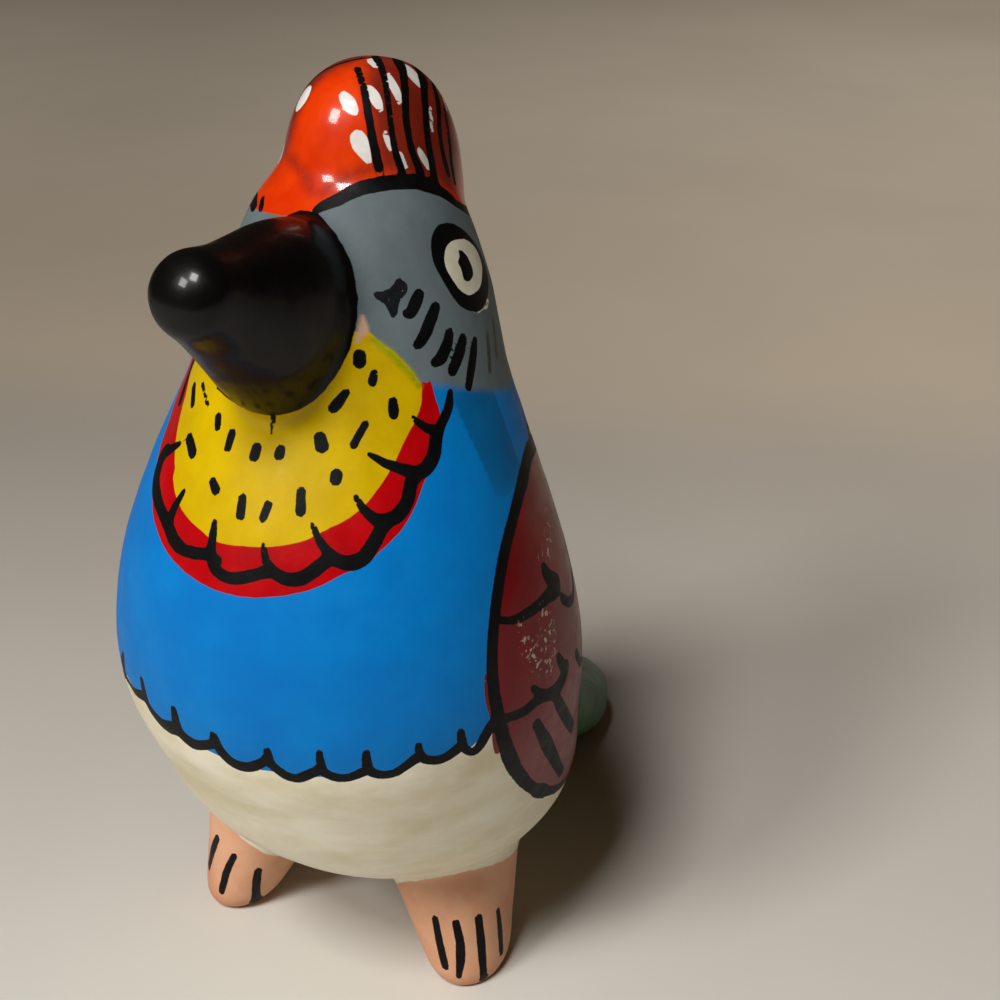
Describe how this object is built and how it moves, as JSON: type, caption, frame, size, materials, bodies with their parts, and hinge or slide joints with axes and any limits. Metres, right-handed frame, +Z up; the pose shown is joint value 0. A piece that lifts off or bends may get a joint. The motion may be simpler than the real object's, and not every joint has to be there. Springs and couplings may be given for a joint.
{
  "type": "ceramic bird figurine",
  "caption": "Upright hand-modelled ceramic bird with a fat crest, a trumpet beak, stubby legs and a broad tail that props it from behind.",
  "frame": {"origin": "on the ground, below the middle of the bird's outline from above", "axes": "+Z up, the bird faces -Y, its left side is +X"},
  "size_m": [0.0572, 0.0978, 0.12],
  "materials": {
    "painted_clay": "hand-painted over fired clay, bright blue breast, cream belly, black beak, orange-red crest, satin to glossy varnish"
  },
  "bodies": {
    "root": {"bird_figurine": "painted_clay"}
  },
  "joints": []
}
